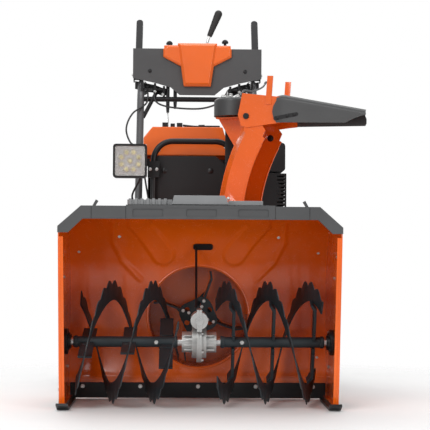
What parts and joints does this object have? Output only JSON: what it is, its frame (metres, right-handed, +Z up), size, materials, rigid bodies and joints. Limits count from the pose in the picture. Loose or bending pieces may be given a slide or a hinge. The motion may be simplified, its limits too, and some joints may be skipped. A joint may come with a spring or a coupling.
{
  "type": "two stage snowblower",
  "caption": "Walk-behind two-stage snow thrower: wide auger housing, impeller, swivelling chute with tilting deflector, engine, wheels and handlebar controls.",
  "frame": {"origin": "on the ground, on the machine's centre line, directly below the front lip of the auger housing's roof", "axes": "+X across the machine, +Y backwards from the auger housing to the operator, +Z up"},
  "size_m": [0.8862, 1.445, 1.3033],
  "materials": {
    "housing_paint": "gloss orange powder coat",
    "trim_plastic": "dark grey textured plastic",
    "black_paint": "semi-gloss black powder coat",
    "black_plastic": "fine-textured black plastic",
    "grey_plastic": "dark grey moulded plastic",
    "shroud_plastic": "gloss orange moulded plastic",
    "zinc_steel": "zinc-plated steel",
    "cast_aluminium": "sand-cast aluminium",
    "engine_metal": "dark cast engine metal",
    "bronze": "machined bronze",
    "tyre_rubber": "treaded rubber",
    "grip_rubber": "ribbed soft rubber",
    "rim_paint": "light grey painted steel rim",
    "handle_paint": "dark grey powder-coated tube",
    "lens": "clear ribbed lens",
    "tool_plastic": "grey moulded plastic",
    "cable_sheath": "black cable sheath"
  },
  "bodies": {
    "chassis": {"auger_housing": "housing_paint", "impeller_housing": "housing_paint", "housing_trim": "trim_plastic", "scraper_bar": "black_paint", "skid_shoes": "black_paint", "chassis_bolts": "zinc_steel", "auger_bearings": "black_paint", "gearcase_left": "cast_aluminium", "gearcase_right": "cast_aluminium", "gearcase_brace": "black_paint", "tractor_frame": "black_paint", "belt_cover": "black_plastic", "hoop_guard": "black_paint", "light_bracket": "black_paint", "chute_post": "black_paint", "rotator_head": "grey_plastic", "engine_block": "engine_metal", "engine_shroud": "shroud_plastic", "fuel_tank": "black_plastic", "muffler": "engine_metal", "muffler_guard": "black_paint", "heat_shield": "black_plastic", "carburetor_cover": "black_plastic", "recoil_housing": "black_plastic", "starter_motor": "black_paint", "handle_tubes": "handle_paint", "dash_panel": "trim_plastic", "dash_trim": "shroud_plastic", "handle_grips": "grip_rubber", "drive_belts": "grip_rubber", "control_cables": "cable_sheath"},
    "auger": {"auger_shaft": "zinc_steel", "worm_wheel": "bronze", "auger_left": "black_paint", "auger_right": "black_paint", "shear_bolts": "zinc_steel"},
    "impeller": {"impeller": "black_paint", "impeller_shaft": "zinc_steel", "impeller_pulley": "cast_aluminium"},
    "crankshaft": {"crank_pulley": "cast_aluminium"},
    "drive_disc": {"drive_disc": "cast_aluminium"},
    "hex_shaft": {"hex_shaft": "zinc_steel"},
    "friction_wheel": {"friction_wheel": "grip_rubber"},
    "wheels": {"axle": "zinc_steel", "wheel_rims": "rim_paint", "tyres": "tyre_rubber"},
    "chute": {"chute": "housing_paint"},
    "deflector": {"deflector": "housing_paint", "deflector_extension": "grey_plastic", "deflector_pins": "black_paint"},
    "auger_lever": {"auger_lever": "black_plastic"},
    "drive_lever": {"drive_lever": "black_plastic"},
    "speed_lever": {"speed_lever": "black_plastic"},
    "rotation_lever": {"rotation_lever": "black_plastic"},
    "tilt_lever": {"tilt_lever": "black_plastic"},
    "headlight": {"headlight": "black_plastic", "headlight_lens": "lens"},
    "fuel_cap": {"fuel_cap": "black_plastic"},
    "recoil_handle": {"recoil_handle": "black_plastic"},
    "cleanout_tool": {"cleanout_tool": "tool_plastic"}
  },
  "joints": [
    {"name": "auger_spin", "type": "hinge", "parent": "chassis", "child": "auger", "pos_m": [0, 0.19, 0.178], "axis": [1, 0, 0], "continuous": true},
    {"name": "impeller_spin", "type": "hinge", "parent": "chassis", "child": "impeller", "pos_m": [0, 0.45, 0.24], "axis": [0, 1, 0], "continuous": true},
    {"name": "crankshaft_spin", "type": "hinge", "parent": "chassis", "child": "crankshaft", "pos_m": [0, 0.64, 0.56], "axis": [0, 1, 0], "continuous": true},
    {"name": "drive_disc_spin", "type": "hinge", "parent": "chassis", "child": "drive_disc", "pos_m": [0, 0.66, 0.33], "axis": [0, 1, 0], "continuous": true},
    {"name": "wheel_spin", "type": "hinge", "parent": "chassis", "child": "wheels", "pos_m": [0, 0.82, 0.203], "axis": [1, 0, 0], "continuous": true},
    {"name": "hex_shaft_spin", "type": "hinge", "parent": "chassis", "child": "hex_shaft", "pos_m": [0, 0.7333, 0.33], "axis": [1, 0, 0], "continuous": true},
    {"name": "friction_wheel_slide", "type": "slide", "parent": "hex_shaft", "child": "friction_wheel", "axis": [1, 0, 0], "range_m": [-0.038, 0.038]},
    {"name": "chute_rotation", "type": "hinge", "parent": "chassis", "child": "chute", "pos_m": [0.106, 0.47, 0.565], "axis": [0, 0, 1], "range_deg": [-140, 35]},
    {"name": "deflector_tilt", "type": "hinge", "parent": "chute", "child": "deflector", "pos_m": [0.16944, 0.44042, 0.835], "axis": [-0.4226, -0.9063, 0], "range_deg": [-15, 25]},
    {"name": "auger_lever_press", "type": "hinge", "parent": "chassis", "child": "auger_lever", "pos_m": [0.211, 1.195, 1.066], "axis": [1, 0, 0], "range_deg": [-40, 0], "stiffness_Nm_per_rad": 2, "springref_deg": 14.32},
    {"name": "drive_lever_press", "type": "hinge", "parent": "chassis", "child": "drive_lever", "pos_m": [-0.211, 1.195, 1.066], "axis": [1, 0, 0], "range_deg": [-40, 0], "stiffness_Nm_per_rad": 2, "springref_deg": 14.32},
    {"name": "speed_lever_swing", "type": "hinge", "parent": "chassis", "child": "speed_lever", "pos_m": [0.024, 1.195, 1.07], "axis": [1, 0, 0], "range_deg": [-18, 18]},
    {"name": "rotation_lever_swing", "type": "hinge", "parent": "chassis", "child": "rotation_lever", "pos_m": [-0.1, 1.195, 1.07], "axis": [1, 0, 0], "range_deg": [-21, 5.25]},
    {"name": "tilt_lever_swing", "type": "hinge", "parent": "chassis", "child": "tilt_lever", "pos_m": [0.1, 1.195, 1.07], "axis": [1, 0, 0], "range_deg": [-12, 20]},
    {"name": "headlight_tilt", "type": "hinge", "parent": "chassis", "child": "headlight", "pos_m": [-0.211, 0.554, 0.709], "axis": [1, 0, 0], "range_deg": [-20, 20]},
    {"name": "fuel_cap_turn", "type": "hinge", "parent": "chassis", "child": "fuel_cap", "pos_m": [0.09, 1.012, 0.768], "axis": [0, 0, 1], "range_deg": [0, 90]},
    {"name": "recoil_pull", "type": "slide", "parent": "chassis", "child": "recoil_handle", "axis": [0, 1, 0], "range_m": [0, 0.6], "stiffness_N_per_m": 15},
    {"name": "cleanout_tool_lift", "type": "slide", "parent": "chassis", "child": "cleanout_tool", "axis": [0, 0, 1], "range_m": [0, 0.15]}
  ],
  "couplings": [
    {"joint": "impeller_spin", "follows": "auger_spin", "ratio": 10},
    {"joint": "hex_shaft_spin", "follows": "wheel_spin", "ratio": 2.5833},
    {"joint": "friction_wheel_slide", "follows": "speed_lever_swing", "m_per_rad": 0.12},
    {"joint": "rotation_lever_swing", "follows": "chute_rotation", "ratio": 0.15},
    {"joint": "tilt_lever_swing", "follows": "deflector_tilt", "ratio": 0.8}
  ]
}
